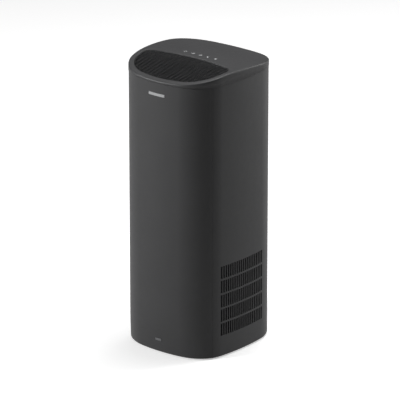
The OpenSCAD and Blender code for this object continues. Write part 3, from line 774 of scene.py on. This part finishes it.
class PURIFIER_OT_top_cap(bpy.types.Operator):
    """Top cap: a crowned deck with a rounded edge, round the opening of the outlet"""

    bl_idname = "purifier.top_cap"
    bl_label = "Top cap"

    def execute(self, context):
        s = sizes()
        plan = Plan(s)
        near, far, leave = outlet_outline(plan, 0)
        mouth = all_round(near + far)
        over = (CAP_HIGH.x - CAP_LOW.x) / 2 - HALF_WIDTH

        def edge(inset):
            return all_round(sum(cap_outline(plan, inset - over, leave), []))

        lip, lip_depth, deck_rows = 1.2 * MM, 7 * MM, 20
        rows = [[Vector((*p, CAP_JOINT)) for p in edge(0)]]
        for degrees in range(0, 91, 15):
            turn = math.radians(degrees)
            inset, drop = s.cap_edge * (1 - math.cos(turn)), s.cap_edge * (1 - math.sin(turn))
            rows.append([Vector((*p, crown(p.y) - drop)) for p in edge(inset)])
        brink = edge(s.cap_edge)
        near_lip, far_lip, _ = outlet_outline(plan, -lip)
        rim = all_round(near_lip + far_lip)
        for i in range(1, deck_rows + 1):
            between = [a.lerp(b, i / deck_rows) for a, b in zip(brink, rim)]
            rows.append([Vector((*p, crown(p.y))) for p in between])
        for degrees in (30, 60, 90):
            turn = math.radians(degrees)
            between = [r.lerp(m, math.sin(turn)) for r, m in zip(rim, mouth)]
            rows.append([Vector((*p, crown(p.y) - lip * (1 - math.cos(turn)))) for p in between])
        rows.append([Vector((*p, crown(p.y) - lip_depth)) for p in mouth])
        bm = bmesh.new()
        raise_rows(bm, rows, closed=True)
        outwards(bm)
        made = piece("cap_shell", bm, "cabinet", "graphite_shell", "top_cap")
        thicken(made, s.cap_wall)
        return {"FINISHED"}


class PURIFIER_OT_outlet(bpy.types.Operator):
    """Outlet grille: a thin frame with vanes across and finer ribs from front to back"""

    bl_idname = "purifier.outlet"
    bl_label = "Outlet grille"

    def reach(self, outline, y):
        """Half width of an outline at a depth."""
        best = 0.0
        for a, b in zip(outline, outline[1:]):
            if (a.y - y) * (b.y - y) <= 0 and a.y != b.y:
                best = max(best, (a.lerp(b, (y - a.y) / (b.y - a.y))).x)
        return best

    def execute(self, context):
        s = sizes()
        plan = Plan(s)
        sink, deep, clearance, lip = 1.4 * MM, 6 * MM, 0.3 * MM, 2.6 * MM
        rib_sink = sink + 0.9 * MM
        outer, inner = (sum(outlet_outline(plan, inset)[:2], []) for inset in (clearance, lip))
        bm = bmesh.new()
        self.frame(bm, outer, inner, sink, deep)
        front, back = inner[0].y, inner[-1].y
        y = -s.outlet_back - s.vane_pitch
        while y > front + s.vane:
            self.vane(bm, s, y, inner, crown(y) - sink - clearance, deep)
            y -= s.vane_pitch
        count = int(self.reach(inner, (front + back) / 2) / s.rib_pitch)
        for i in range(-count, count + 1):
            self.rib(bm, i * s.rib_pitch, inner, rib_sink)
        bmesh.ops.recalc_face_normals(bm, faces=bm.faces[:])
        made = piece("outlet_louvre", bm, "cabinet", "black_plastic", "outlet_grille")
        soften(made, 0.25 * MM, 1)
        return {"FINISHED"}

    def frame(self, bm, outer, inner, sink, deep):
        """The closed ring that holds the vanes."""
        profile = ((outer, sink + deep), (outer, sink), (inner, sink), (inner, sink + deep))
        rows = [[Vector((*p, crown(p.y) - drop)) for p in all_round(line)] for line, drop in profile]
        raise_rows(bm, rows, closed=True)
        bmesh.ops.bridge_loops(bm, edges=[e for e in bm.edges if len(e.link_faces) == 1])

    def vane(self, bm, s, y, inner, top, deep):
        """One vane across the opening, whose foot leans to the rear."""
        lean = 1.6 * MM
        reach = self.reach(inner, y)
        if reach <= s.vane_pitch:
            return
        low, high = (-reach, y - s.vane / 2, top - deep), (reach, y + s.vane / 2, top)
        for vert in block(bm, low, high):
            if vert.co.z < top - deep / 2:
                vert.co.y += lean

    def rib(self, bm, x, inner, sink):
        """One rib along the crown, from the front edge of the opening to its rear edge."""
        span = [p.y for p in self.crossings(inner, abs(x))]
        if len(span) < 2:
            return
        low, high = min(span), max(span)
        steps, half, deep = 12, 0.5 * MM, 3 * MM
        rows = []
        for i in range(steps + 1):
            y = low + (high - low) * i / steps
            z = crown(y) - sink
            corners = ((x - half, z - deep), (x - half, z), (x + half, z), (x + half, z - deep))
            rows.append([Vector((side, y, height)) for side, height in corners])
        start = len(bm.edges)
        raise_rows(bm, rows, closed=True)
        bm.edges.ensure_lookup_table()
        ends = [e for e in bm.edges[start:] if len(e.link_faces) == 1]
        bmesh.ops.holes_fill(bm, edges=ends, sides=4)

    def crossings(self, outline, x):
        """Points where an outline's right half crosses a distance from the middle."""
        found = []
        for a, b in zip(outline, outline[1:]):
            if (a.x - x) * (b.x - x) <= 0 and a.x != b.x:
                found.append(a.lerp(b, (x - a.x) / (b.x - a.x)))
        return found


class PURIFIER_OT_stage(bpy.types.Operator):
    """Floor, soft studio lamps, world and camera"""

    bl_idname = "purifier.stage"
    bl_label = "Stage"

    def lamp(self, name, place, aim, size, watts):
        """One soft rectangular lamp that points at a place."""
        data = bpy.data.lights.new(name, "AREA")
        data.shape = "RECTANGLE"
        data.size, data.size_y = size
        data.energy = watts
        made = bpy.data.objects.new(name, data)
        made.location = place
        made.rotation_euler = (Vector(aim) - Vector(place)).to_track_quat("-Z", "Y").to_euler()
        bpy.context.scene.collection.objects.link(made)

    def floor(self):
        bm = bmesh.new()
        bmesh.ops.create_grid(bm, x_segments=2, y_segments=2, size=12)
        mesh = bpy.data.meshes.new("floor")
        bm.to_mesh(mesh)
        bm.free()
        made = bpy.data.objects.new("floor", mesh)
        bpy.context.scene.collection.objects.link(made)
        paint, tree = blank("pale studio floor")
        # It glows only where it is seen, and is darker as a bounce, so the body stays in shade.
        seen = self.ray_is(tree, "Is Camera Ray", "Is Glossy Ray", "Is Transmission Ray")
        glow_level = add(tree, "ShaderNodeMath", {0: seen, 1: 0.45}, operation="MULTIPLY").outputs[0]
        pale, dim = linear(colours().floor), darker(colours().floor, 0.25)
        paint_tone = two_tone(tree, self.ray_is(tree, "Is Camera Ray"), dim, pale)
        matt = add(tree, "ShaderNodeBsdfDiffuse", {"Color": paint_tone})
        glow = add(tree, "ShaderNodeEmission", {"Color": (1, 1, 1, 1), "Strength": glow_level})
        both = add(tree, "ShaderNodeAddShader", {0: matt.outputs[0], 1: glow.outputs[0]})
        add(tree, "ShaderNodeOutputMaterial", {"Surface": both.outputs[0]})
        mesh.materials.append(paint)

    def ray_is(self, tree, *kinds):
        """1 for a ray of any of these kinds, and 0 for the rest."""
        path = add(tree, "ShaderNodeLightPath").outputs
        found = path[kinds[0]]
        for kind in kinds[1:]:
            found = add(tree, "ShaderNodeMath", {0: found, 1: path[kind]}, operation="MAXIMUM").outputs[0]
        return found

    def world(self, scene):
        """White where it is seen, and dim as a light."""
        scene.world = bpy.data.worlds.new("studio")
        scene.world.use_nodes = True
        tree = scene.world.node_tree
        tree.nodes.clear()
        seen = self.ray_is(tree, "Is Camera Ray", "Is Transmission Ray")
        soft = add(tree, "ShaderNodeBackground", {"Color": (1, 1, 1, 1), "Strength": 0.06})
        white = add(tree, "ShaderNodeBackground", {"Color": (1, 1, 1, 1), "Strength": 1.0})
        mix = add(tree, "ShaderNodeMixShader", {0: seen, 1: soft.outputs[0], 2: white.outputs[0]})
        add(tree, "ShaderNodeOutputWorld", {"Surface": mix.outputs[0]})

    def camera(self, scene):
        azimuth, elevation = math.radians(37.8), math.radians(20.8)
        level = math.cos(elevation)
        back = Vector((math.sin(azimuth) * level, -math.cos(azimuth) * level, math.sin(elevation)))
        right = Vector((math.cos(azimuth), math.sin(azimuth), 0))
        up = back.cross(right)
        distance = 10.68
        aim = Vector((0, 0, 0.3196)) + up * 0.0439 + right * 0.0064
        data = bpy.data.cameras.new("camera")
        data.lens = 380.8
        data.sensor_width = 36
        data.clip_end = 100
        made = bpy.data.objects.new("camera", data)
        bpy.context.scene.collection.objects.link(made)
        turn = Matrix((right, up, back)).transposed().to_4x4()
        made.matrix_world = Matrix.Translation(aim + back * distance) @ turn
        scene.camera = made

    def execute(self, context):
        scene = context.scene
        self.floor()
        self.world(scene)
        self.lamp("key", (-2.6, -3.2, 2.0), (0, 0, 0.45), (1.5, 1.5), 155)
        self.lamp("rim", (1.9, 3.2, 1.3), (0, 0, 0.45), (1.0, 1.8), 62)
        self.lamp("top", (0.2, 0.8, 3.2), (0, 0, 0.5), (1.8, 1.8), 70)
        self.camera(scene)
        scene.view_settings.view_transform = "Standard"
        return {"FINISHED"}


class PURIFIER_PT_panel(bpy.types.Panel):
    """Sidebar panel with the sizes, the colours and one button for each group of pieces"""

    bl_idname = "PURIFIER_PT_panel"
    bl_label = "Purifier"
    bl_space_type = "VIEW_3D"
    bl_region_type = "UI"
    bl_category = "Purifier"

    def draw(self, context):
        for operator in OPERATORS:
            self.layout.operator(operator.bl_idname)
        for group in (context.scene.purifier_sizes, context.scene.purifier_colours):
            for name in group.__annotations__:
                self.layout.prop(group, name)


OPERATORS = (
    PURIFIER_OT_finish_works, PURIFIER_OT_front_cover, PURIFIER_OT_rear_housing, PURIFIER_OT_top_cap,
    PURIFIER_OT_outlet, PURIFIER_OT_stage,
)
CLASSES = (PurifierSizes, PurifierColours, *OPERATORS, PURIFIER_PT_panel)


def register():
    for cls in CLASSES:
        bpy.utils.register_class(cls)
    bpy.types.Scene.purifier_sizes = bpy.props.PointerProperty(type=PurifierSizes)
    bpy.types.Scene.purifier_colours = bpy.props.PointerProperty(type=PurifierColours)


def unregister():
    del bpy.types.Scene.purifier_colours
    del bpy.types.Scene.purifier_sizes
    for cls in reversed(CLASSES):
        bpy.utils.unregister_class(cls)


def main():
    register()
    bpy.ops.purifier.finish_works()
    bpy.ops.purifier.front_cover()
    bpy.ops.purifier.rear_housing()
    bpy.ops.purifier.top_cap()
    bpy.ops.purifier.outlet()
    bpy.ops.purifier.stage()


if __name__ == "__main__":
    main()
